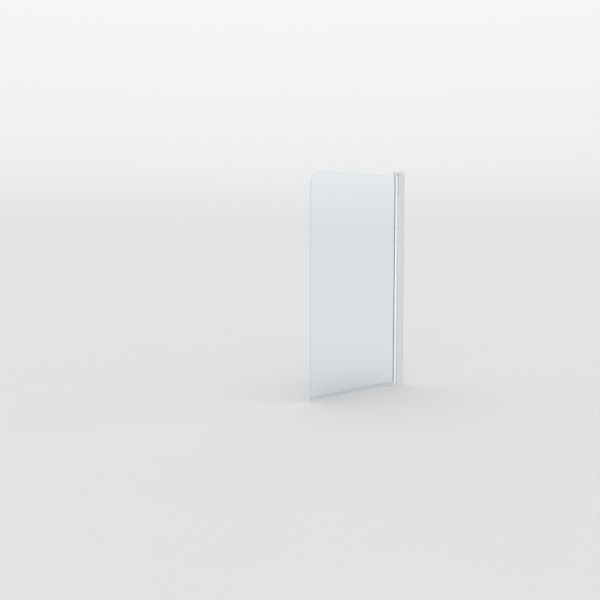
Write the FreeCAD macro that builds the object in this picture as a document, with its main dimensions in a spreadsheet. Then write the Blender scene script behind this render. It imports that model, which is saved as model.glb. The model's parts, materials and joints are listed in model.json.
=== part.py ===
import FreeCAD, Part
import Sketcher
import os

# Bath screen: one pane of toughened glass that swings on a round pivot tube. The tube turns in the cradle
# of a hinge profile, and the profile slides over a channel that is screwed to the wall.
#
# Millimetres. X = 0 is the wall and the glass reaches towards -X. Y = 0 is the middle of the glass, with the
# room on the -Y side and the bath on the +Y side. Z = 0 is the bath's rim, on which the profile stands.

V = FreeCAD.Vector
doc = FreeCAD.newDocument("bath_screen")

# ---------------------------------------------------------------- driving dimensions
sheet = doc.addObject("Spreadsheet::Sheet", "Sizes")
SIZES = [
    # alias, value, meaning
    ("screen_reach", 800, "wall to the free edge of the glass"),
    ("profile_height", 1400, "rim to the top of the upper cap"),
    ("glass_low", 23, "lower edge of the glass above the rim"),
    ("glass_high", 1367.5, "upper edge of the glass"),
    ("glass_thickness", 6, "toughened glass"),
    ("glass_inner_edge", 68.4, "hinge-side edge of the glass, from the wall"),
    ("glass_corner_radius", 83, "rounded upper outer corner"),
    ("glass_foot_radius", 4, "small radius of the lower outer corner"),
    ("glass_arris", 0.7, "ground arris round the glass"),
    ("pivot_depth", 62, "pivot axis, from the wall"),
    ("tube_radius", 14, "outside of the pivot tube"),
    ("tube_wall", 2, "wall of the pivot tube"),
    ("tube_low", 16.6, "foot of the tube"),
    ("tube_high", 1379.1, "top of the tube"),
    ("port_radius", 3.05, "screw and pin port along the tube's axis"),
    ("port_outer_radius", 4.8, "outside of that port"),
    ("slot_half", 4.6, "half the width of the glass slot"),
    ("slot_floor", 66.6, "floor of the glass slot, from the wall"),
    ("slot_wall", 1.8, "walls of the glass slot"),
    ("gasket_wall", 1.5, "side of the glazing gasket"),
    ("gasket_gap", 0.05, "gasket to glass and gasket to slot"),
    ("gasket_lip_half", 5.3, "half the width over the gasket's lips"),
    ("gasket_lip_depth", 0.8, "thickness of the gasket's lips"),
    ("cradle_radius", 14.6, "inside of the cradle round the tube"),
    ("cradle_back_radius", 16.6, "back of the cradle's wall"),
    ("profile_front", 52.5, "lips of the cradle, from the wall"),
    ("profile_back", 5, "rear edges of the hinge profile, from the wall"),
    ("profile_half", 16.5, "half the width of the hinge profile"),
    ("profile_wall", 2, "side walls of the hinge profile"),
    ("profile_corner", 4.5, "rounded front corners of the hinge profile"),
    ("cavity_front", 47, "front of the hollow in the hinge profile, from the wall"),
    ("profile_low", 14, "lower end of the hinge profile, on the lower cap"),
    ("profile_high", 1381, "upper end of the hinge profile, under the upper cap"),
    ("screw_port_depth", 40, "screw ports for the caps, from the wall"),
    ("screw_port_half", 11, "screw ports, from the middle"),
    ("screw_port_radius", 1.9, "bore of a screw port"),
    ("screw_port_outer", 3.7, "outside of a screw port"),
    ("seal_turn", 42, "angle of the seal strips round the tube, in degrees from the wall side"),
    ("seal_width", 1.9, "width of a seal strip"),
    ("seal_inner", 14.36, "face of a seal strip, from the pivot axis"),
    ("seal_outer", 16.1, "back of a seal strip, from the pivot axis"),
    ("seal_groove_outer", 16.2, "floor of a strip's groove, from the pivot axis"),
    ("seal_groove_width", 2.0, "width of a strip's groove"),
    ("channel_depth", 34, "depth of the wall channel"),
    ("channel_half", 14, "half the width of the wall channel"),
    ("channel_wall", 1.8, "flanges of the wall channel"),
    ("channel_web", 2, "web of the wall channel, on the wall"),
    ("wall_hole_radius", 3.5, "holes for the wall screws"),
    ("wall_hole_first", 100, "lowest wall hole above the rim"),
    ("wall_hole_pitch", 400, "distance between wall holes"),
    ("wall_hole_count", 4, "number of wall holes"),
    ("lock_depth", 19, "adjusting screws, from the wall"),
    ("lock_first", 150, "lowest adjusting screw above the rim"),
    ("lock_pitch", 550, "distance between adjusting screws"),
    ("lock_count", 3, "number of adjusting screws"),
    ("lock_shank", 2.1, "shank of an adjusting screw"),
    ("lock_head", 3.8, "head of an adjusting screw"),
    ("lock_head_rise", 2.4, "height of that head"),
    ("lock_tip", 10, "tip of an adjusting screw, from the middle"),
    ("cup_radius", 6.2, "cup washer under the head"),
    ("cup_rise", 1, "thickness of the cup washer"),
    ("cover_radius", 7, "snap-on cover"),
    ("cover_rise", 4.8, "height of the cover"),
    ("cover_wall", 0.7, "wall of the cover"),
    ("cap_back", 3, "rear face of the caps, from the wall"),
    ("cap_nose_radius", 14.3, "round nose of the caps, over and under the tube"),
    ("cap_edge", 1.6, "rounded edges of the caps"),
    ("cap_rear_edge", 4, "rounded rear top edge of the upper cap"),
    ("bush_bore_wall", 5.05, "bore in a cap for its bush"),
    ("bush_radius", 5, "body of a bush"),
    ("bush_inner", 3.06, "bore of a bush, running on the pin"),
    ("bush_flange", 10, "flange of a bush"),
    ("bush_flange_rise", 1.5, "thickness of that flange"),
    ("pin_radius", 3, "pivot pins"),
    ("pin_in_tube", 27, "length of a pin inside the tube"),
    ("lock_hole_radius", 4, "hole for the pin lock screw"),
    ("lock_hole_high", 1373.6, "pin lock screw above the rim"),
    ("cap_screw_head", 3.4, "heads of the cap screws"),
    ("cap_screw_shank", 1.85, "shanks of the cap screws"),
    ("counterbore_radius", 3.6, "recess for those heads"),
    ("block_gap_radius", 14.9, "inner faces of the corner blocks, from the pivot axis"),
    ("block_outer_end", 88.5, "outer face of a corner block, from the wall"),
    ("block_half", 6, "half the thickness of a corner block"),
    ("block_low_top", 19.5, "top of the lower block's body"),
    ("block_high_foot", 1377, "foot of the upper block's body"),
    ("block_edge", 1.4, "rounded edges of the blocks"),
    ("seal_start", 90, "hinge-side end of the bottom seal, from the wall"),
    ("seal_end", 798, "free end of the bottom seal, from the wall"),
    ("seal_fin_low", 0.6, "tip of the fin above the rim"),
]
for row, (alias, value, meaning) in enumerate(SIZES, 1):
    sheet.set("A%d" % row, alias)
    sheet.set("B%d" % row, str(value))
    sheet.set("C%d" % row, meaning)
    sheet.setAlias("B%d" % row, alias)
doc.recompute()


def val(alias):
    """A driving dimension as a number, for the few shapes that are placed in code."""
    return float(getattr(sheet, alias))


def ex(text):
    """Write Sizes. before every alias in an expression."""
    names = sorted((a for a, _, _ in SIZES), key=len, reverse=True)
    out, i = "", 0
    while i < len(text):
        if text[i].isalpha():
            j = i
            while j < len(text) and (text[j].isalnum() or text[j] == "_"):
                j += 1
            word = text[i:j]
            out += "Sizes." + word if word in names else word
            i = j
        else:
            out += text[i]
            i += 1
    return out


# ---------------------------------------------------------------- helpers
def body(label, many=False):
    b = doc.addObject("PartDesign::Body", label)
    b.Label = label
    b.AllowCompound = many
    return b


def origin_of(b, role):
    return [o for o in b.Origin.OriginFeatures if o.Role == role][0]


def sketch(b, name, role, offset=None):
    """A sketch on one of the body's own origin planes, lifted along its normal by an expression."""
    sk = b.newObject("Sketcher::SketchObject", name)
    sk.AttachmentSupport = [(origin_of(b, role), "")]
    sk.MapMode = "FlatFace"
    if offset:
        sk.setExpression("AttachmentOffset.Base.z", ex(offset))
    return sk


def polygon(sk, points):
    """A closed polygon whose corners are expressions, fully constrained from the sketch's origin."""
    first = sk.GeometryCount
    n = len(points)
    # rough start positions keep the solver on the right branch
    start = [V(float(number(x)), float(number(y)), 0) for x, y in points]
    for i in range(n):
        sk.addGeometry(Part.LineSegment(start[i], start[(i + 1) % n]))
    for i in range(n):
        sk.addConstraint(Sketcher.Constraint("Coincident", first + i, 2, first + (i + 1) % n, 1))
    for i, (x, y) in enumerate(points):
        for kind, text, number_ in (("DistanceX", x, start[i].x), ("DistanceY", y, start[i].y)):
            c = sk.addConstraint(Sketcher.Constraint(kind, -1, 1, first + i, 1, number_))
            sk.setExpression("Constraints[%d]" % c, ex(text))


def circle(sk, x, y, r):
    g = sk.addGeometry(Part.Circle(V(float(number(x)), float(number(y)), 0), V(0, 0, 1), float(number(r))))
    for kind, text in (("DistanceX", x), ("DistanceY", y)):
        c = sk.addConstraint(Sketcher.Constraint(kind, -1, 1, g, 3, float(number(text))))
        sk.setExpression("Constraints[%d]" % c, ex(text))
    c = sk.addConstraint(Sketcher.Constraint("Radius", g, float(number(r))))
    sk.setExpression("Constraints[%d]" % c, ex(r))


def number(text):
    """The present value of an expression of aliases, numbers and + - * / ( )."""
    words = {a: float(v) for a, v, _ in SIZES}
    pos = [0]
    s = text.replace(" ", "")

    def atom():
        if s[pos[0]] == "(":
            pos[0] += 1
            v = add()
            pos[0] += 1
            return v
        if s[pos[0]] == "-":
            pos[0] += 1
            return -atom()
        j = pos[0]
        while j < len(s) and (s[j].isalnum() or s[j] in "_."):
            j += 1
        word = s[pos[0]:j]
        pos[0] = j
        return words[word] if word in words else float(word)

    def mul():
        v = atom()
        while pos[0] < len(s) and s[pos[0]] in "*/":
            op = s[pos[0]]
            pos[0] += 1
            w = atom()
            v = v * w if op == "*" else v / w
        return v

    def add():
        v = mul()
        while pos[0] < len(s) and s[pos[0]] in "+-":
            op = s[pos[0]]
            pos[0] += 1
            w = mul()
            v = v + w if op == "+" else v - w
        return v

    return add()


def sound(b, feature):
    """Recompute, and stop at the first feature that failed."""
    b.Tip = feature
    doc.recompute()
    if {"Invalid", "Error"} & set(feature.State) or b.Shape.isNull() or not b.Shape.isValid():
        raise RuntimeError("%s of %s failed: %s" % (feature.Name, b.Label, feature.State))
    return feature


def pad(b, sk, name, length, reverse=False, both=False):
    p = b.newObject("PartDesign::Pad", name)
    p.Profile = sk
    p.Length = number(length)
    p.setExpression("Length", ex(length))
    if both:
        p.SideType = "Symmetric"
    p.Reversed = reverse
    return sound(b, p)


def pocket(b, sk, name, length, reverse=False, both=False):
    before = b.Shape.Volume
    p = b.newObject("PartDesign::Pocket", name)
    p.Profile = sk
    p.Length = number(length)
    p.setExpression("Length", ex(length))
    if both:
        p.SideType = "Symmetric"
    p.Reversed = reverse
    sound(b, p)
    if not b.Shape.Volume < before - 1e-3:
        raise RuntimeError("%s of %s cuts nothing" % (name, b.Label))
    return p


def revolve(b, sk, name):
    r = b.newObject("PartDesign::Revolution", name)
    r.Profile = sk
    r.ReferenceAxis = (sk, ["V_Axis"])
    r.Angle = 360
    return sound(b, r)


def along(b, name, originals, role, length, count):
    """A row of the same feature along one of the body's own origin axes."""
    p = b.newObject("PartDesign::LinearPattern", name)
    p.Originals = originals
    p.Direction = (origin_of(b, role), [""])
    p.Length = number(length)
    p.Occurrences = int(number(count))
    p.setExpression("Length", ex(length))
    p.setExpression("Occurrences", ex(count))
    return sound(b, p)


def mirrored(b, name, originals, role):
    p = b.newObject("PartDesign::Mirrored", name)
    p.Originals = originals
    p.MirrorPlane = (origin_of(b, role), [""])
    return sound(b, p)


def edges_where(shape, test):
    """Names of the edges whose bounding box and curve pass a test."""
    return ["Edge%d" % i for i, e in enumerate(shape.Edges, 1) if test(e, e.BoundBox)]


def fillet(b, base, name, names, radius):
    f = b.newObject("PartDesign::Fillet", name)
    f.Base = (base, names)
    f.Radius = number(radius)
    f.setExpression("Radius", ex(radius))
    return sound(b, f)


def chamfer(b, base, name, names, size):
    f = b.newObject("PartDesign::Chamfer", name)
    f.Base = (base, names)
    f.Size = number(size)
    f.setExpression("Size", ex(size))
    return sound(b, f)


def near(a, b, tol=0.02):
    return abs(a - b) < tol


def box(name, x0, x1, y0, y1, z0, z1):
    """A box between expressions."""
    o = doc.addObject("Part::Box", name)
    for prop, text in (
        ("Length", "(%s)-(%s)" % (x1, x0)),
        ("Width", "(%s)-(%s)" % (y1, y0)),
        ("Height", "(%s)-(%s)" % (z1, z0)),
        ("Placement.Base.x", x0),
        ("Placement.Base.y", y0),
        ("Placement.Base.z", z0),
    ):
        o.setExpression(prop, ex(text))
    return o


def rod(name, x, y, r, z0, z1):
    """An upright cylinder between expressions."""
    o = doc.addObject("Part::Cylinder", name)
    for prop, text in (
        ("Radius", r),
        ("Height", "(%s)-(%s)" % (z1, z0)),
        ("Placement.Base.x", x),
        ("Placement.Base.y", y),
        ("Placement.Base.z", z0),
    ):
        o.setExpression(prop, ex(text))
    return o


def cut(name, base, tool):
    o = doc.addObject("Part::Cut", name)
    o.Base, o.Tool = base, tool
    return o


def fuse(name, shapes):
    o = doc.addObject("Part::MultiFuse", name)
    o.Shapes = shapes
    o.Refine = True
    return o


def common(name, base, tool):
    o = doc.addObject("Part::Common", name)
    o.Base, o.Tool = base, tool
    return o


nodes = []


def keep(obj, label=None):
    if label:
        obj.Label = label
    nodes.append(obj)
    return obj


AXIS = "-pivot_depth"

# ---------------------------------------------------------------- wall channel
# A U-channel, web on the wall and flanges towards the room. Four holes in the web take the wall screws.
b = body("wall_channel")
sk = sketch(b, "channel_section", "XY_Plane")
polygon(sk, [
    ("0", "-channel_half"),
    ("0", "channel_half"),
    ("-channel_depth", "channel_half"),
    ("-channel_depth", "channel_half-channel_wall"),
    ("-channel_web", "channel_half-channel_wall"),
    ("-channel_web", "channel_wall-channel_half"),
    ("-channel_depth", "channel_wall-channel_half"),
    ("-channel_depth", "-channel_half"),
])
pad(b, sk, "channel_extrusion", "profile_high")
sk = sketch(b, "wall_hole", "YZ_Plane", "-channel_web-1")
circle(sk, "0", "wall_hole_first", "wall_hole_radius")
holes = pocket(b, sk, "wall_hole_cut", "channel_web+2", reverse=True)
along(b, "wall_holes", [holes], "Z_Axis", "wall_hole_pitch*(wall_hole_count-1)", "wall_hole_count")
sk = sketch(b, "lock_hole", "XZ_Plane", "-channel_half-1")
circle(sk, "-lock_depth", "lock_first", "lock_shank+0.05")
holes = pocket(b, sk, "lock_hole_cut", "channel_wall+2", reverse=True)
along(b, "lock_holes", [holes], "Z_Axis", "lock_pitch*(lock_count-1)", "lock_count")
keep(b)

# ---------------------------------------------------------------- hinge profile
# One extrusion: two sides that slide over the channel, and a round cradle that wraps the rear of the tube.
b = body("profile_blank")
sk = sketch(b, "profile_outline", "XY_Plane", "profile_low")
polygon(sk, [
    ("-profile_back", "-profile_half"),
    ("-profile_back", "profile_half"),
    ("-profile_front", "profile_half"),
    ("-profile_front", "-profile_half"),
])
p = pad(b, sk, "profile_extrusion", "profile_high-profile_low")
front = edges_where(p.Shape, lambda e, q: near(q.XMin, -val("profile_front")) and near(q.XMax, -val("profile_front")) and q.ZLength > 100)
p = fillet(b, p, "profile_front_corners", front, "profile_corner")
rear = edges_where(p.Shape, lambda e, q: near(q.XMin, -val("profile_back")) and near(q.XMax, -val("profile_back")) and q.ZLength > 100)
fillet(b, p, "profile_rear_corners", rear, "profile_wall*0.3")
blank = b

low, high = "profile_low-1", "profile_high+1"
hollow = cut(
    "profile_hollow",
    box("profile_hollow_box", "-cavity_front", "-profile_back+1", "profile_wall-profile_half", "profile_half-profile_wall", low, high),
    rod("cradle_back", AXIS, "0", "cradle_back_radius", low, high),
)
shell = cut("profile_shell", cut("profile_open", blank, hollow), rod("cradle_bore", AXIS, "0", "cradle_radius", low, high))
ports = [
    rod("screw_port_%s" % side, "-screw_port_depth", sign + "screw_port_half", "screw_port_outer", "profile_low", "profile_high")
    for side, sign in (("room", "-"), ("bath", ""))
]
ribbed = fuse("profile_ribbed", [shell] + ports)
bores = fuse("profile_bores", [
    rod("screw_bore_%s" % side, "-screw_port_depth", sign + "screw_port_half", "screw_port_radius", low, high)
    for side, sign in (("room", "-"), ("bath", ""))
])
bored = cut("profile_bored", ribbed, bores)


def turned_bar(name, sign, inner, outer, width, z0, z1):
    """A bar parallel to the pivot, set radially at the seal's angle on one side of the cradle."""
    o = box(name, inner, outer, "-(%s)/2" % width, "(%s)/2" % width, z0, z1)
    angle = "%sseal_turn" % sign
    o.setExpression("Placement.Rotation.Angle", ex(angle))
    o.setExpression("Placement.Base.x", ex("-pivot_depth") + "+(%s)*cos(%s*1deg)+(%s)/2*sin(%s*1deg)" % (ex(inner), ex(angle), ex(width), ex(angle)))
    o.setExpression("Placement.Base.y", "(%s)*sin(%s*1deg)-(%s)/2*cos(%s*1deg)" % (ex(inner), ex(angle), ex(width), ex(angle)))
    return o


grooves = fuse("seal_grooves", [
    turned_bar("seal_groove_%s" % side, sign, "cradle_radius-1", "seal_groove_outer", "seal_groove_width", low, high)
    for side, sign in (("room", "-"), ("bath", ""))
])
grooved = cut("profile_grooved", bored, grooves)

# holes for the adjusting screws through the bath-side wall
b = body("lock_clearance", many=True)
sk = sketch(b, "lock_clearance_circle", "XZ_Plane", "-profile_half-1")
circle(sk, "-lock_depth", "lock_first", "lock_shank+0.3")
p = pad(b, sk, "lock_clearance_rod", "profile_wall+2")
along(b, "lock_clearance_rods", [p], "Z_Axis", "lock_pitch*(lock_count-1)", "lock_count")
keep(cut("hinge_profile", grooved, b), "hinge_profile")

# ---------------------------------------------------------------- seal strips in the cradle's lips
strips = [
    turned_bar("seal_strip_%s" % side, sign, "seal_inner", "seal_outer", "seal_width", "profile_low", "profile_high")
    for side, sign in (("room", "-"), ("bath", ""))
]
keep(fuse("cradle_seal_strips", strips), "cradle_seal_strips")

# ---------------------------------------------------------------- pivot tube
# A round extrusion: outer wall, a slot for the glass with its gasket, and a port for the pins on the axis.
tlow, thigh = "tube_low-1", "tube_high+1"
skin = cut(
    "tube_skin",
    rod("tube_outside", AXIS, "0", "tube_radius", "tube_low", "tube_high"),
    rod("tube_inside", AXIS, "0", "tube_radius-tube_wall", tlow, thigh),
)
core = common(
    "tube_core",
    fuse("tube_ribs", [
        box("slot_block", "-pivot_depth-tube_radius", "-slot_floor+slot_wall", "-slot_half-slot_wall", "slot_half+slot_wall", "tube_low", "tube_high"),
        rod("port_ring", AXIS, "0", "port_outer_radius", "tube_low", "tube_high"),
        box("tube_web", "-pivot_depth", "-pivot_depth+tube_radius", "-1", "1", "tube_low", "tube_high"),
    ]),
    rod("tube_core_limit", AXIS, "0", "tube_radius-tube_wall/2", "tube_low", "tube_high"),
)
tube = fuse("tube_whole", [skin, core])
tube = cut("tube_slotted", tube, box("slot", "-pivot_depth-tube_radius-2", "-slot_floor", "-slot_half", "slot_half", tlow, thigh))
tube = cut("tube_ported", tube, rod("port", AXIS, "0", "port_radius", tlow, thigh))
b = body("pin_lock_hole")
sk = sketch(b, "pin_lock_circle", "XZ_Plane", "1")
circle(sk, AXIS, "lock_hole_high", "lock_hole_radius")
pad(b, sk, "pin_lock_drill", "tube_radius")
keep(cut("pivot_tube", tube, b), "pivot_tube")

# ---------------------------------------------------------------- glass
b = body("glass_panel")
sk = sketch(b, "glass_outline", "XZ_Plane")
polygon(sk, [
    ("-screen_reach", "glass_low"),
    ("-glass_inner_edge", "glass_low"),
    ("-glass_inner_edge", "glass_high"),
    ("-screen_reach", "glass_high"),
])
p = pad(b, sk, "glass_sheet", "glass_thickness", both=True)
corner = edges_where(p.Shape, lambda e, q: near(q.XMin, -val("screen_reach")) and q.XLength < 0.01 and near(q.ZMin, val("glass_high")) and q.YLength > 1)
p = fillet(b, p, "glass_round_corner", corner, "glass_corner_radius")
corner = edges_where(p.Shape, lambda e, q: near(q.XMin, -val("screen_reach")) and q.XLength < 0.01 and near(q.ZMin, val("glass_low")) and q.ZLength < 0.01 and q.YLength > 1)
p = fillet(b, p, "glass_lower_corner", corner, "glass_foot_radius")
rims = edges_where(p.Shape, lambda e, q: q.YLength < 0.01)
chamfer(b, p, "glass_arrises", rims, "glass_arris")
keep(b)

# ---------------------------------------------------------------- glazing gasket
# A U round the hinge-side edge of the glass, with two lips that cover the mouth of the slot.
g_in = "glass_thickness/2+gasket_gap"
g_out = "glass_thickness/2+gasket_gap+gasket_wall"
mouth = "-pivot_depth-13.4"
b = body("glazing_gasket")
sk = sketch(b, "gasket_section", "XY_Plane", "glass_low")
polygon(sk, [
    ("-slot_floor-gasket_gap", "-(%s)" % g_out),
    ("-slot_floor-gasket_gap", g_out),
    (mouth, g_out),
    (mouth, "gasket_lip_half"),
    (mouth + "-gasket_lip_depth", "gasket_lip_half-0.6"),
    (mouth + "-gasket_lip_depth-0.5", g_in),
    ("-glass_inner_edge+gasket_gap", g_in),
    ("-glass_inner_edge+gasket_gap", "-(%s)" % g_in),
    (mouth + "-gasket_lip_depth-0.5", "-(%s)" % g_in),
    (mouth + "-gasket_lip_depth", "0.6-gasket_lip_half"),
    (mouth, "-gasket_lip_half"),
    (mouth, "-(%s)" % g_out),
])
pad(b, sk, "gasket_extrusion", "glass_high-glass_low")
keep(b)

# ---------------------------------------------------------------- pivot pins
for label, z0, z1 in (
    ("upper_pivot_pin", "tube_high-pin_in_tube", "profile_high+13"),
    ("lower_pivot_pin", "profile_low-10", "tube_low+pin_in_tube"),
):
    b = body(label)
    sk = sketch(b, label + "_section", "XY_Plane", z0)
    circle(sk, AXIS, "0", "pin_radius")
    p = pad(b, sk, label + "_bar", "(%s)-(%s)" % (z1, z0))
    ends = edges_where(p.Shape, lambda e, q: q.ZLength < 0.01)
    chamfer(b, p, label + "_ends", ends, "pin_radius*0.2")
    keep(b)

# ---------------------------------------------------------------- bushes
# Flanged nylon bushes: the body sits in a cap and the flange faces the end of the tube.
for label, face, sign, body_end in (
    ("upper_bush", "profile_high", 1, "profile_high+14"),
    ("lower_bush", "profile_low", -1, "profile_low-11"),
):
    b = body(label)
    start = body_end if sign < 0 else "%s-bush_flange_rise" % face
    end = face + "+bush_flange_rise" if sign < 0 else body_end
    sk = sketch(b, label + "_flange", "XY_Plane", face if sign < 0 else start)
    circle(sk, AXIS, "0", "bush_flange")
    p = pad(b, sk, label + "_flange_disc", "bush_flange_rise")
    sk = sketch(b, label + "_body", "XY_Plane", body_end if sign < 0 else face)
    circle(sk, AXIS, "0", "bush_radius")
    pad(b, sk, label + "_barrel", "(%s)-(%s)" % ((face, body_end) if sign < 0 else (body_end, face)))
    sk = sketch(b, label + "_bore", "XY_Plane", "(%s)-1" % start)
    circle(sk, AXIS, "0", "bush_inner")
    pocket(b, sk, label + "_bore_cut", "(%s)-(%s)+2" % (end, start), reverse=True)
    keep(b)

b = body("thrust_washer")
sk = sketch(b, "washer_section", "XY_Plane", "profile_low+bush_flange_rise+0.1")
circle(sk, AXIS, "0", "bush_flange-0.5")
circle(sk, AXIS, "0", "pin_radius+0.1")
pad(b, sk, "washer_disc", "tube_low-profile_low-bush_flange_rise-0.1")
keep(b)

# ---------------------------------------------------------------- caps
# Each cap is a block of the profile's outline with a round nose that covers the end of the tube.


def cap_blank(label, z0, z1, rear_radius=None):
    b = body(label)
    sk = sketch(b, label + "_outline", "XY_Plane", z0)
    polygon(sk, [
        ("-cap_back", "-profile_half"),
        ("-cap_back", "profile_half"),
        ("-profile_front", "profile_half"),
        ("-profile_front", "-profile_half"),
    ])
    p = pad(b, sk, label + "_block", "(%s)-(%s)" % (z1, z0))
    upright = edges_where(p.Shape, lambda e, q: near(q.XMin, -val("profile_front")) and near(q.XMax, -val("profile_front")) and q.ZLength > 5)
    p = fillet(b, p, label + "_front_corners", upright, "profile_corner")
    if rear_radius:
        top = number(z1)
        rear = edges_where(p.Shape, lambda e, q: near(q.ZMin, top) and near(q.XMin, -val("cap_back")) and near(q.XMax, -val("cap_back")))
        p = fillet(b, p, label + "_rear_top_edge", rear, rear_radius)
    sk = sketch(b, label + "_neck", "XY_Plane", z0)
    polygon(sk, [
        ("-profile_front+6", "-cap_nose_radius"),
        ("-profile_front+6", "cap_nose_radius"),
        ("-pivot_depth", "cap_nose_radius"),
        ("-pivot_depth", "-cap_nose_radius"),
    ])
    pad(b, sk, label + "_neck_block", "(%s)-(%s)" % (z1, z0))
    sk = sketch(b, label + "_nose", "XY_Plane", z0)
    circle(sk, AXIS, "0", "cap_nose_radius")
    p = pad(b, sk, label + "_nose_disc", "(%s)-(%s)" % (z1, z0))
    return b, p


def rear_upright(q):
    return near(q.XMin, -val("cap_back")) and near(q.XMax, -val("cap_back")) and q.ZLength > 5


# upper cap
b, p = cap_blank("top_cap", "profile_high", "profile_height", "cap_rear_edge")
top = val("profile_height")
soft = edges_where(p.Shape, lambda e, q: (near(q.ZMin, top) and q.XMin < -val("cap_back") - val("cap_rear_edge") - 0.5) or rear_upright(q))
p = fillet(b, p, "top_cap_edges", soft, "cap_edge")
sk = sketch(b, "top_cap_plug", "XY_Plane", "profile_high-8")
polygon(sk, [
    ("-channel_web-4", "channel_wall-channel_half+0.8"),
    ("-channel_web-4", "channel_half-channel_wall-0.8"),
    ("-channel_depth+2", "channel_half-channel_wall-0.8"),
    ("-channel_depth+2", "channel_wall-channel_half+0.8"),
])
pad(b, sk, "top_cap_plug_block", "8")
sk = sketch(b, "top_cap_bush_bore", "XY_Plane", "profile_high-1")
circle(sk, AXIS, "0", "bush_bore_wall")
pocket(b, sk, "top_cap_bush_bore_cut", "15.5", reverse=True)
sk = sketch(b, "top_cap_heads", "XY_Plane", "profile_height-4")
circle(sk, "-screw_port_depth", "screw_port_half", "counterbore_radius")
heads = pocket(b, sk, "top_cap_head_recess", "6", reverse=True)
sk = sketch(b, "top_cap_shanks", "XY_Plane", "profile_high-1")
circle(sk, "-screw_port_depth", "screw_port_half", "cap_screw_shank+0.25")
shanks = pocket(b, sk, "top_cap_shank_hole", "18", reverse=True)
mirrored(b, "top_cap_screw_holes", [heads, shanks], "XZ_Plane")
keep(b)

# lower cap: the same outline, with two slots for the channel's flanges, because the channel stands on the rim
b, p = cap_blank("bottom_cap", "0", "profile_low")
upright = edges_where(p.Shape, lambda e, q: rear_upright(q))
p = fillet(b, p, "bottom_cap_rear_corners", upright, "1.2")
foot = edges_where(p.Shape, lambda e, q: near(q.ZMin, 0) and near(q.ZMax, 0))
fillet(b, p, "bottom_cap_edges", foot, "0.8")
sk = sketch(b, "bottom_cap_bush_bore", "XY_Plane", "profile_low+1")
circle(sk, AXIS, "0", "bush_bore_wall")
pocket(b, sk, "bottom_cap_bush_bore_cut", "12.5")
sk = sketch(b, "bottom_cap_slot", "XY_Plane", "-1")
polygon(sk, [
    ("1", "channel_half-channel_wall-0.3"),
    ("1", "channel_half+0.3"),
    ("-channel_depth-0.4", "channel_half+0.3"),
    ("-channel_depth-0.4", "channel_half-channel_wall-0.3"),
])
slots = pocket(b, sk, "bottom_cap_slot_cut", "profile_low+2", reverse=True)
sk = sketch(b, "bottom_cap_heads", "XY_Plane", "3.6")
circle(sk, "-screw_port_depth", "screw_port_half", "counterbore_radius")
heads = pocket(b, sk, "bottom_cap_head_recess", "5")
sk = sketch(b, "bottom_cap_shanks", "XY_Plane", "profile_low+1")
circle(sk, "-screw_port_depth", "screw_port_half", "cap_screw_shank+0.25")
shanks = pocket(b, sk, "bottom_cap_shank_hole", "profile_low")
mirrored(b, "bottom_cap_far_side", [slots, heads, shanks], "XZ_Plane")
keep(b)

# ---------------------------------------------------------------- cap screws
# Pan heads with a hexagonal recess, in pairs.


def hexagon(sk, x, y, r):
    """A regular hexagon of corner radius r round x, y."""
    polygon(sk, [
        ("(%s)+(%s)" % (x, r), y),
        ("(%s)+(%s)/2" % (x, r), "(%s)+(%s)*0.8660254" % (y, r)),
        ("(%s)-(%s)/2" % (x, r), "(%s)+(%s)*0.8660254" % (y, r)),
        ("(%s)-(%s)" % (x, r), y),
        ("(%s)-(%s)/2" % (x, r), "(%s)-(%s)*0.8660254" % (y, r)),
        ("(%s)+(%s)/2" % (x, r), "(%s)-(%s)*0.8660254" % (y, r)),
    ])


for label, head, up, tip in (
    ("top_cap_screws", "profile_height-4", 1, "profile_high-20"),
    ("bottom_cap_screws", "3.6", -1, "profile_low+20"),
):
    b = body(label, many=True)
    sk = sketch(b, label + "_shank", "XY_Plane", tip if up > 0 else head)
    circle(sk, "-screw_port_depth", "screw_port_half", "cap_screw_shank")
    shank = pad(b, sk, label + "_shank_rod", "(%s)-(%s)" % ((head, tip) if up > 0 else (tip, head)))
    sk = sketch(b, label + "_head", "XY_Plane", head if up > 0 else "(%s)-2.6" % head)
    circle(sk, "-screw_port_depth", "screw_port_half", "cap_screw_head")
    disc = pad(b, sk, label + "_head_disc", "2.6")
    sk = sketch(b, label + "_recess", "XY_Plane", "(%s)+2.6-1.6" % head if up > 0 else "(%s)-2.6+1.6" % head)
    hexagon(sk, "-screw_port_depth", "screw_port_half", "1.7")
    recess = pocket(b, sk, label + "_recess_cut", "3", reverse=up > 0)
    mirrored(b, label + "_pair", [shank, disc, recess], "XZ_Plane")
    keep(b)

# ---------------------------------------------------------------- adjusting screws, cup washers, covers
# They stand on the bath side of the profile. On the XZ plane a sketch's normal is -Y, so an offset of -d is y = d.
b = body("adjusting_screws", many=True)
sk = sketch(b, "adjusting_shank", "XZ_Plane", "-profile_half-cup_rise")
circle(sk, "-lock_depth", "lock_first", "lock_shank")
shank = pad(b, sk, "adjusting_shank_rod", "profile_half+cup_rise-lock_tip")
sk = sketch(b, "adjusting_head", "XZ_Plane", "-profile_half-cup_rise-lock_head_rise")
circle(sk, "-lock_depth", "lock_first", "lock_head")
disc = pad(b, sk, "adjusting_head_disc", "lock_head_rise")
sk = sketch(b, "adjusting_recess", "XZ_Plane", "-profile_half-cup_rise-lock_head_rise-1")
hexagon(sk, "-lock_depth", "lock_first", "1.9")
recess = pocket(b, sk, "adjusting_recess_cut", "2.5", reverse=True)
along(b, "adjusting_row", [shank, disc, recess], "Z_Axis", "lock_pitch*(lock_count-1)", "lock_count")
keep(b)

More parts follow.
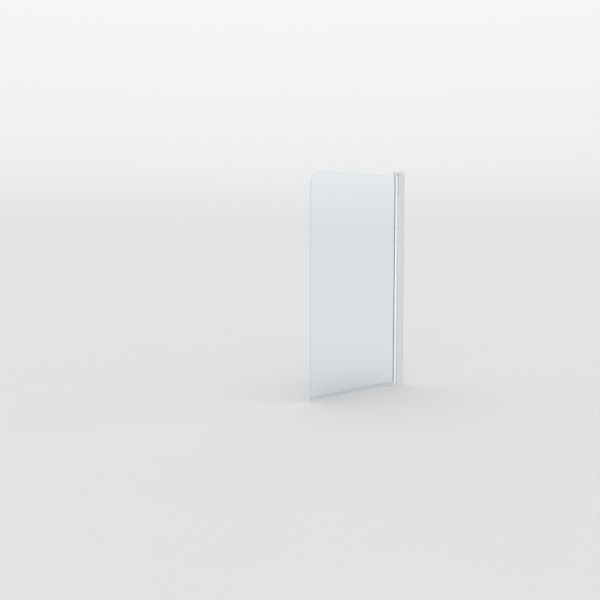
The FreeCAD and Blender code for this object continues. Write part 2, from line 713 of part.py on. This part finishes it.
b = body("screw_cover_bases", many=True)
sk = sketch(b, "cup_section", "XZ_Plane", "-profile_half-cup_rise")
circle(sk, "-lock_depth", "lock_first", "cup_radius")
circle(sk, "-lock_depth", "lock_first", "lock_shank+0.15")
cup = pad(b, sk, "cup_disc", "cup_rise")
sk = sketch(b, "cup_rim", "XZ_Plane", "-profile_half-cup_rise-1.4")
circle(sk, "-lock_depth", "lock_first", "cup_radius")
circle(sk, "-lock_depth", "lock_first", "cup_radius-1")
rim = pad(b, sk, "cup_rim_ring", "1.4")
along(b, "cup_row", [cup, rim], "Z_Axis", "lock_pitch*(lock_count-1)", "lock_count")
keep(b)

b = body("screw_cover_caps", many=True)
sk = sketch(b, "cover_section", "XZ_Plane", "-profile_half-cover_rise")
circle(sk, "-lock_depth", "lock_first", "cover_radius")
dome = pad(b, sk, "cover_disc", "cover_rise")
edge = edges_where(dome.Shape, lambda e, q: near(q.YMin, val("profile_half") + val("cover_rise")) and q.YLength < 0.01)
rounded = fillet(b, dome, "cover_edge", edge, "1.5")
sk = sketch(b, "cover_hollow", "XZ_Plane", "-profile_half+1")
circle(sk, "-lock_depth", "lock_first", "cover_radius-cover_wall")
hollow = pocket(b, sk, "cover_hollow_cut", "cover_rise-cover_wall+1")
row = b.newObject("PartDesign::LinearPattern", "cover_row")
row.TransformMode = "Whole shape"
row.Direction = (origin_of(b, "Z_Axis"), [""])
row.Length = number("lock_pitch*(lock_count-1)")
row.Occurrences = int(number("lock_count"))
row.setExpression("Length", ex("lock_pitch*(lock_count-1)"))
row.setExpression("Occurrences", ex("lock_count"))
sound(b, row)
keep(b)

# ---------------------------------------------------------------- pin lock screw
# A set screw in the front of the tube, sunk below its surface, that bears on the upper pin.
b = body("pin_lock_screw")
sk = sketch(b, "lock_screw_section", "XZ_Plane", "pin_radius+0.1")
circle(sk, AXIS, "lock_hole_high", "lock_hole_radius-0.1")
pad(b, sk, "lock_screw_rod", "tube_radius-pin_radius-0.9")
sk = sketch(b, "lock_screw_socket", "XZ_Plane", "tube_radius-0.8+1")
hexagon(sk, AXIS, "lock_hole_high", "2.3")
pocket(b, sk, "lock_screw_socket_cut", "4")
keep(b)

# ---------------------------------------------------------------- corner blocks
# Moulded end pieces that turn with the tube: a tongue in the glass slot, a foot the thickness of the glass,
# and a block whose flat inner face passes the nose and neck of the fixed cap as the glass turns.
for label, low_face, high_face, tongue in (
    ("upper_corner_block", "block_high_foot", "profile_height-1", [
        ("-block_outer_end+3", "glass_high+0.2"),
        ("-slot_floor-0.2", "glass_high+0.2"),
        ("-slot_floor-0.2", "tube_high-0.3"),
        ("-pivot_depth-tube_radius-1.2", "tube_high-0.3"),
        ("-pivot_depth-tube_radius-1.2", "block_high_foot+1.5"),
        ("-block_outer_end+3", "block_high_foot+1.5"),
    ]),
    ("lower_corner_block", "1", "block_low_top", [
        ("-block_outer_end+3", "block_low_top-1.5"),
        ("-pivot_depth-tube_radius-1.2", "block_low_top-1.5"),
        ("-pivot_depth-tube_radius-1.2", "tube_low+0.3"),
        ("-slot_floor-0.2", "tube_low+0.3"),
        ("-slot_floor-0.2", "glass_low-0.2"),
        ("-block_outer_end+3", "glass_low-0.2"),
    ]),
):
    b = body(label)
    sk = sketch(b, label + "_outline", "XZ_Plane")
    polygon(sk, [
        ("-block_outer_end", low_face),
        ("-pivot_depth-block_gap_radius", low_face),
        ("-pivot_depth-block_gap_radius", high_face),
        ("-block_outer_end", high_face),
    ])
    p = pad(b, sk, label + "_block", "block_half*2", both=True)
    outer = edges_where(p.Shape, lambda e, q: q.XMax < -val("pivot_depth") - val("tube_radius") - 3 or q.XLength > 5)
    fillet(b, p, label + "_edges", outer, "block_edge")
    sk = sketch(b, label + "_tongue_outline", "XZ_Plane")
    polygon(sk, tongue)
    pad(b, sk, label + "_tongue", "glass_thickness", both=True)
    keep(b)

# ---------------------------------------------------------------- bottom seal
# Clear push-on strip: two legs on the glass, a base, a fin down to the rim and a drip lip on the bath side.
# On the YZ plane a sketch's x is Y and its y is Z.
b = body("bottom_seal")
leg_in = "glass_thickness/2+0.05"
leg_out = "glass_thickness/2+1.15"
sk = sketch(b, "seal_section", "YZ_Plane", "-seal_end")
polygon(sk, [
    ("-(%s)" % leg_out, "glass_low-3.4"),
    ("-0.8", "glass_low-3.4"),
    ("-0.6", "glass_low-9"),
    ("0.3", "seal_fin_low+3"),
    ("1.6", "seal_fin_low"),
    ("2.7", "seal_fin_low+0.3"),
    ("1.6", "seal_fin_low+4"),
    ("0.9", "glass_low-9"),
    ("0.8", "glass_low-3.4"),
    ("2.4", "glass_low-3.4"),
    ("8.2", "glass_low-11"),
    ("9.1", "glass_low-10.3"),
    (leg_out, "glass_low-1.8"),
    (leg_out, "glass_low+8"),
    (leg_in, "glass_low+8.6"),
    (leg_in, "glass_low-0.1"),
    ("-(%s)" % leg_in, "glass_low-0.1"),
    ("-(%s)" % leg_in, "glass_low+8.6"),
    ("-(%s)" % leg_out, "glass_low+8"),
])
pad(b, sk, "seal_extrusion", "seal_end-seal_start")
keep(b)

# ---------------------------------------------------------------- check and write
doc.recompute()
bad = [o.Name + ":" + ",".join(o.State) for o in doc.Objects if {"Invalid", "Error"} & set(o.State)]
if bad:
    raise RuntimeError("features failed: " + "; ".join(bad))
os.makedirs("parts", exist_ok=True)
for old in os.listdir("parts"):
    if old.endswith(".step"):
        os.remove(os.path.join("parts", old))
for o in nodes:
    s = o.Shape
    if s.isNull() or not s.isValid() or not s.Solids or s.Volume <= 0:
        raise RuntimeError("no sound shape for " + o.Label)
    print("%-22s solids %d  volume %10.1f  x %.1f..%.1f  y %.1f..%.1f  z %.1f..%.1f" % (
        o.Label, len(s.Solids), s.Volume, s.BoundBox.XMin, s.BoundBox.XMax, s.BoundBox.YMin, s.BoundBox.YMax, s.BoundBox.ZMin, s.BoundBox.ZMax))
    s.exportStep("parts/%s.step" % o.Label)
print("nodes", len(nodes))
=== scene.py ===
import bpy
import bmesh
import json
import math
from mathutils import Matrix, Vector


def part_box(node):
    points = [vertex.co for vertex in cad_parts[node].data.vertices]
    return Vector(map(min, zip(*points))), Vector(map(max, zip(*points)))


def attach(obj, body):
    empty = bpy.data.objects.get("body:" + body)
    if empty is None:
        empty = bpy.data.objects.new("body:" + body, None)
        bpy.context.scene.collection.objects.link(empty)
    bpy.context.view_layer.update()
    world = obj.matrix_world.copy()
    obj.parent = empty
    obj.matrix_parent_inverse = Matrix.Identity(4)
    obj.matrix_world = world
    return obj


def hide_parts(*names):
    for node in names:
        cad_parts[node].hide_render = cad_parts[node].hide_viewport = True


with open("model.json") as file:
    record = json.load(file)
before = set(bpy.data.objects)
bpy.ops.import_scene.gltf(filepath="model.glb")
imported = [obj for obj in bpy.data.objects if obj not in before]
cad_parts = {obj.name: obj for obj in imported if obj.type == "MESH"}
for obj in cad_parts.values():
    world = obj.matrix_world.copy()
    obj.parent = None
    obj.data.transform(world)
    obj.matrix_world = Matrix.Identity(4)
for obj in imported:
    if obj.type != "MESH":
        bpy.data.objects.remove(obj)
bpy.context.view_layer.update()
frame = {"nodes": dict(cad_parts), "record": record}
nodes = frame["nodes"]
scene = bpy.context.scene
NAMES = ("wall_frame", "glass_leaf")

# ------------------------------------------------------------------------------------------------ node helpers


def material(name):
    m = bpy.data.materials.new(name)
    m.use_nodes = True
    t = m.node_tree
    t.nodes.clear()
    out = t.nodes.new("ShaderNodeOutputMaterial")
    shader = t.nodes.new("ShaderNodeBsdfPrincipled")
    t.links.new(shader.outputs["BSDF"], out.inputs["Surface"])
    return m, t, shader, out


def mapped(t, scale):
    """Object coordinates in metres, stretched by a scale for each axis."""
    coords = t.nodes.new("ShaderNodeTexCoord")
    mapping = t.nodes.new("ShaderNodeMapping")
    mapping.inputs["Scale"].default_value = scale
    t.links.new(coords.outputs["Object"], mapping.inputs["Vector"])
    return mapping.outputs["Vector"]


def noise(t, scale, detail=3.0, rough=0.55, stretch=(1, 1, 1)):
    n = t.nodes.new("ShaderNodeTexNoise")
    n.inputs["Scale"].default_value = scale
    n.inputs["Detail"].default_value = detail
    n.inputs["Roughness"].default_value = rough
    t.links.new(mapped(t, stretch), n.inputs["Vector"])
    return n.outputs["Fac"]


def ranged(t, value, low, high, from_low=0.3, from_high=0.7):
    r = t.nodes.new("ShaderNodeMapRange")
    r.inputs["From Min"].default_value = from_low
    r.inputs["From Max"].default_value = from_high
    r.inputs["To Min"].default_value = low
    r.inputs["To Max"].default_value = high
    t.links.new(value, r.inputs["Value"])
    return r.outputs["Result"]


def colours(t, value, low, high, from_low=0.3, from_high=0.7):
    ramp = t.nodes.new("ShaderNodeValToRGB")
    ramp.color_ramp.elements[0].position = from_low
    ramp.color_ramp.elements[1].position = from_high
    ramp.color_ramp.elements[0].color = (*low, 1)
    ramp.color_ramp.elements[1].color = (*high, 1)
    t.links.new(value, ramp.inputs["Fac"])
    return ramp.outputs["Color"]


def bump(t, value, distance, strength=1.0, under=None):
    b = t.nodes.new("ShaderNodeBump")
    b.inputs["Strength"].default_value = strength
    b.inputs["Distance"].default_value = distance
    t.links.new(value, b.inputs["Height"])
    if under is not None:
        t.links.new(under, b.inputs["Normal"])
    return b.outputs["Normal"]


# ------------------------------------------------------------------------------------------------ materials


def coated(name, low, high, rough_low, rough_high, grain, drawn, coat=0.0):
    """Stoved coat on an aluminium extrusion: a fine skin of grain over faint lines along the draw."""
    m, t, s, _ = material(name)
    cloud = noise(t, 9.0, 4.0)
    t.links.new(colours(t, cloud, low, high), s.inputs["Base Color"])
    t.links.new(ranged(t, noise(t, 240.0, 2.0), rough_low, rough_high), s.inputs["Roughness"])
    lines = noise(t, 1.0, 2.0, 0.5, stretch=(900, 900, 2.2))
    skin = noise(t, 1500.0, 2.0, 0.6)
    under = bump(t, lines, drawn)
    t.links.new(bump(t, skin, grain, under=under), s.inputs["Normal"])
    s.inputs["IOR"].default_value = 1.5
    s.inputs["Coat Weight"].default_value = coat
    s.inputs["Coat Roughness"].default_value = 0.46
    return m


def moulded(name, low, high, rough_low, rough_high, grain, subsurface=0.0):
    """Moulded plastic: a fine spark-eroded texture and slightly cloudy gloss."""
    m, t, s, _ = material(name)
    t.links.new(colours(t, noise(t, 30.0, 3.0), low, high), s.inputs["Base Color"])
    t.links.new(ranged(t, noise(t, 420.0, 2.0), rough_low, rough_high), s.inputs["Roughness"])
    skin = noise(t, 2600.0, 2.0, 0.6)
    flow = noise(t, 60.0, 1.0, 0.4)
    t.links.new(bump(t, skin, grain, under=bump(t, flow, 0.00004)), s.inputs["Normal"])
    s.inputs["IOR"].default_value = 1.49
    if subsurface:
        s.inputs["Subsurface Weight"].default_value = subsurface
        s.inputs["Subsurface Radius"].default_value = (1.0, 0.95, 0.85)
        s.inputs["Subsurface Scale"].default_value = 0.0015
    return m


def rubbery(name, low, high):
    m, t, s, _ = material(name)
    t.links.new(colours(t, noise(t, 160.0, 4.0), low, high), s.inputs["Base Color"])
    t.links.new(ranged(t, noise(t, 500.0, 2.0), 0.52, 0.72), s.inputs["Roughness"])
    lines = noise(t, 1.0, 2.0, 0.5, stretch=(1400, 1400, 6))
    t.links.new(bump(t, lines, 0.00004, under=bump(t, noise(t, 2200.0, 2.0), 0.00003)), s.inputs["Normal"])
    s.inputs["IOR"].default_value = 1.5
    return m


def metallic(name, low, high, rough_low, rough_high, stretch, depth):
    """Turned or drawn steel: fine scratches that follow the stretch, with cloudy roughness."""
    m, t, s, _ = material(name)
    t.links.new(colours(t, noise(t, 260.0, 3.0), low, high), s.inputs["Base Color"])
    t.links.new(ranged(t, noise(t, 1.0, 3.0, 0.6, stretch=stretch), rough_low, rough_high), s.inputs["Roughness"])
    t.links.new(bump(t, noise(t, 1.0, 2.0, 0.5, stretch=stretch), depth), s.inputs["Normal"])
    s.inputs["Metallic"].default_value = 1.0
    return m


def glassy(name, tint, absorb, density, rough_low, rough_high, wave_scale, wave, ior):
    """Clear pane or moulding: light is tinted by its path inside, and the face has a very faint roller wave."""
    m, t, s, out = material(name)
    s.inputs["Base Color"].default_value = (*tint, 1)
    s.inputs["Transmission Weight"].default_value = 1.0
    s.inputs["IOR"].default_value = ior
    t.links.new(ranged(t, noise(t, 55.0, 4.0, 0.6), rough_low, rough_high), s.inputs["Roughness"])
    t.links.new(bump(t, noise(t, wave_scale, 1.0, 0.4), wave), s.inputs["Normal"])
    if density:
        volume = t.nodes.new("ShaderNodeVolumeAbsorption")
        volume.inputs["Color"].default_value = (*absorb, 1)
        volume.inputs["Density"].default_value = density
        t.links.new(volume.outputs["Volume"], out.inputs["Volume"])
    return m


def film(name, low, high, alpha):
    """Clear flexible strip: thin enough to see through, with faint lines along its length."""
    m, t, s, _ = material(name)
    t.links.new(colours(t, noise(t, 25.0, 3.0), low, high), s.inputs["Base Color"])
    t.links.new(ranged(t, noise(t, 300.0, 2.0), 0.12, 0.24), s.inputs["Roughness"])
    t.links.new(bump(t, noise(t, 1.0, 2.0, 0.5, stretch=(3, 1100, 1100)), 0.00002), s.inputs["Normal"])
    s.inputs["IOR"].default_value = 1.45
    s.inputs["Alpha"].default_value = alpha
    return m


def ground(name, low, high):
    """Ground and polished rim of the pane, which gathers the glass's own blue."""
    m, t, s, _ = material(name)
    t.links.new(colours(t, noise(t, 35.0, 3.0), low, high), s.inputs["Base Color"])
    t.links.new(ranged(t, noise(t, 600.0, 2.0), 0.16, 0.30), s.inputs["Roughness"])
    t.links.new(bump(t, noise(t, 1800.0, 2.0), 0.000006), s.inputs["Normal"])
    s.inputs["IOR"].default_value = 1.5
    return m


made = {
    "white_coat": coated("white_coat", (0.705, 0.705, 0.70), (0.735, 0.735, 0.73), 0.30, 0.40, 0.000012, 0.000010),
    "tube_coat": coated("tube_coat", (0.70, 0.70, 0.695), (0.725, 0.725, 0.72), 0.42, 0.50, 0.000004, 0.000006, coat=1.0),
    # channel_coat is painted shade: the wall channel is coated a darker grey than the white profile, so that its strip
    # at the wall reads as the shadow gap behind the profile
    "channel_coat": coated("channel_coat", (0.45, 0.45, 0.445), (0.49, 0.49, 0.485), 0.34, 0.46, 0.000014, 0.000014),
    "white_moulding": moulded("white_moulding", (0.725, 0.725, 0.72), (0.755, 0.755, 0.75), 0.28, 0.38, 0.000012),
    "nylon": moulded("nylon", (0.74, 0.72, 0.64), (0.78, 0.76, 0.69), 0.42, 0.55, 0.000010, subsurface=0.25),
    "grey_rubber": rubbery("grey_rubber", (0.47, 0.475, 0.49), (0.53, 0.535, 0.55)),
    "stainless": metallic("stainless", (0.56, 0.56, 0.55), (0.66, 0.66, 0.65), 0.22, 0.38, (500, 500, 3000), 0.000004),
    "black_steel": metallic("black_steel", (0.020, 0.020, 0.022), (0.035, 0.035, 0.038), 0.35, 0.5, (1500, 1500, 1500), 0.000004),
    "clear_glass": glassy("clear_glass", (0.991, 0.995, 0.9965), (0.34, 0.75, 0.906), 14.0, 0.0, 0.006, 3.2, 0.00003, 1.5),
    "glass_rim": ground("glass_rim", (0.46, 0.62, 0.745), (0.51, 0.67, 0.785)),
    "clear_seal": film("clear_seal", (0.70, 0.73, 0.745), (0.75, 0.775, 0.79), 0.18),
}
for sub in frame["record"]["subparts"]:
    o = nodes[sub["node"]]
    o.data.materials.clear()
    o.data.materials.append(made[sub["material_slot"]])

# ------------------------------------------------------------------------------------------------ glass pane
RIM = 0.0007          # ground arris round the pane
HALF = 0.003          # half the pane's thickness


def pane():
    """The pane with a fine round corner: two polished faces, a ground rim and an arris on each side."""
    low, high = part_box("glass_panel")
    x0, x1, z0, z1 = low.x, high.x, low.z, high.z

    def outline(inset):
        pts = [(x1 - inset, z0 + inset), (x1 - inset, z1 - inset)]
        for cx, cz, r, a0, a1, n in ((x0 + 0.083, z1 - 0.083, 0.083, 90, 180, 60), (x0 + 0.004, z0 + 0.004, 0.004, 180, 270, 10)):
            pts += [(cx + (r - inset) * math.cos(a), cz + (r - inset) * math.sin(a)) for a in [math.radians(a0 + (a1 - a0) * i / n) for i in range(n + 1)]]
        return pts

    bm = bmesh.new()
    loops = []
    for y, inset in ((-HALF, RIM), (-HALF + RIM, 0.0), (HALF - RIM, 0.0), (HALF, RIM)):
        loops.append([bm.verts.new((x, y, z)) for x, z in outline(inset)])
    n = len(loops[0])
    for face, k in ((loops[0], 0), (loops[3][::-1], 0)):
        bm.faces.new(face).material_index = k
    for a, b in zip(loops, loops[1:]):
        for i in range(n):
            j = (i + 1) % n
            f = bm.faces.new((a[i], b[i], b[j], a[j]))
            f.material_index = 1
            f.smooth = (a[i].co - a[j].co).length < 0.01
    bmesh.ops.recalc_face_normals(bm, faces=bm.faces)
    me = bpy.data.meshes.new("glass_pane")
    bm.to_mesh(me)
    bm.free()
    o = bpy.data.objects.new("glass_pane", me)
    scene.collection.objects.link(o)
    me.materials.append(made["clear_glass"])
    me.materials.append(made["glass_rim"])
    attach(o, "glass_leaf")
    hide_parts("glass_panel")
    return o


pane()

# ------------------------------------------------------------------------------------------------ stage
FLOOR = -0.0004
HORIZON = 0.768       # brightness where the floor meets the backdrop


def floor():
    bm = bmesh.new()
    n = 96
    rings = [[bm.verts.new((-0.4, 0, FLOOR))]]
    for r in (0.5, 1.0, 2.0, 4.0, 8.0, 16.0, 40.0, 120.0, 500.0):
        rings.append([bm.verts.new((-0.4 + r * math.cos(2 * math.pi * i / n), r * math.sin(2 * math.pi * i / n), FLOOR)) for i in range(n)])
    for a, b in zip(rings, rings[1:]):
        for i in range(n):
            j = (i + 1) % n
            bm.faces.new((a[0], b[i], b[j]) if len(a) == 1 else (a[i], b[i], b[j], a[j]))
    me = bpy.data.meshes.new("studio_floor")
    bm.to_mesh(me)
    bm.free()
    o = bpy.data.objects.new("studio_floor", me)
    scene.collection.objects.link(o)
    m, t, s, _ = material("pale_floor")
    t.links.new(colours(t, noise(t, 1.3, 3.0), (0.706, 0.708, 0.711), (0.710, 0.712, 0.715)), s.inputs["Base Color"])
    t.links.new(ranged(t, noise(t, 3.0, 2.0), 0.8, 0.95), s.inputs["Roughness"])
    s.inputs["Specular IOR Level"].default_value = 0.0
    me.materials.append(m)
    return o


floor()

world = bpy.data.worlds.new("studio_world")
scene.world = world
world.use_nodes = True
wt = world.node_tree
back = wt.nodes["Background"]
where = wt.nodes.new("ShaderNodeTexCoord")
parts = wt.nodes.new("ShaderNodeSeparateXYZ")
ramp = wt.nodes.new("ShaderNodeValToRGB")
wt.links.new(where.outputs["Generated"], parts.inputs["Vector"])
wt.links.new(parts.outputs["Z"], ramp.inputs["Fac"])
wt.links.new(ramp.outputs["Color"], back.inputs["Color"])
stops = ((0.0, HORIZON), (0.01, HORIZON + 0.004), (0.02, HORIZON + 0.013), (0.035, HORIZON + 0.030), (0.06, HORIZON + 0.060), (0.10, HORIZON + 0.098), (0.32, 0.935), (1.0, 1.1))
ramp.color_ramp.interpolation = "LINEAR"
while len(ramp.color_ramp.elements) < len(stops):
    ramp.color_ramp.elements.new(0.5)
for e, (at, v) in zip(ramp.color_ramp.elements, stops):
    e.position = at
    e.color = (v * 0.995, v * 0.998, v, 1)
back.inputs["Strength"].default_value = 1.0


def lamp(kind, name, place, aim, energy, **more):
    d = bpy.data.lights.new(name, kind)
    d.energy = energy
    for k, v in more.items():
        setattr(d, k, v)
    o = bpy.data.objects.new(name, d)
    scene.collection.objects.link(o)
    o.location = place
    o.rotation_euler = (Vector(aim) - Vector(place)).to_track_quat("-Z", "Y").to_euler()
    return o


lamp("SUN", "soft_key", (-4.0, -3.6, 4.4), (-0.3, 0.0, 0.7), 0.35, angle=math.radians(40))
# Narrow glossy-only lights draw the bright lines down the round tube, the caps' noses and the cradle's lip beside it.
lined = ("pivot_tube", "top_cap", "bottom_cap", "hinge_profile")
shade = bpy.data.collections.new("glint_blockers")
for name in lined:
    shade.objects.link(nodes[name])
for label, names, height, energy in (("tube_glint", lined[:1], 0.306, 3.9), ("cap_glint", lined[1:3], 0.62, 0.8), ("lip_glint", lined[3:], 0.62, 2.1)):
    lit = bpy.data.collections.new(label + "_receivers")
    for name in names:
        lit.objects.link(nodes[name])
    glint = lamp("SUN", label, (-3.28, -3.83, height), (-0.06, 0.0, 0.7), energy, angle=math.radians(10))
    glint.visible_diffuse = False
    glint.visible_transmission = False
    glint.light_linking.receiver_collection = lit
    glint.light_linking.blocker_collection = shade

# ------------------------------------------------------------------------------------------------ camera
camera = bpy.data.cameras.new("camera")
eye = bpy.data.objects.new("camera", camera)
scene.collection.objects.link(eye)
camera.sensor_width = 36.0
camera.lens = 43.6
camera.clip_start, camera.clip_end = 0.05, 2000.0
camera.shift_x = 0.0
camera.shift_y = -0.026
AZIMUTH, PITCH = math.radians(40.57), math.radians(4.2)
eye.location = (-3.6105, -3.1880, 1.0167)
eye.rotation_mode = "XYZ"
eye.rotation_euler = (math.pi / 2 - PITCH, 0.0, -AZIMUTH)
scene.camera = eye

scene.view_settings.view_transform = "Standard"
scene.view_settings.look = "None"
scene.view_settings.exposure = 0.0
scene.view_settings.gamma = 1.0
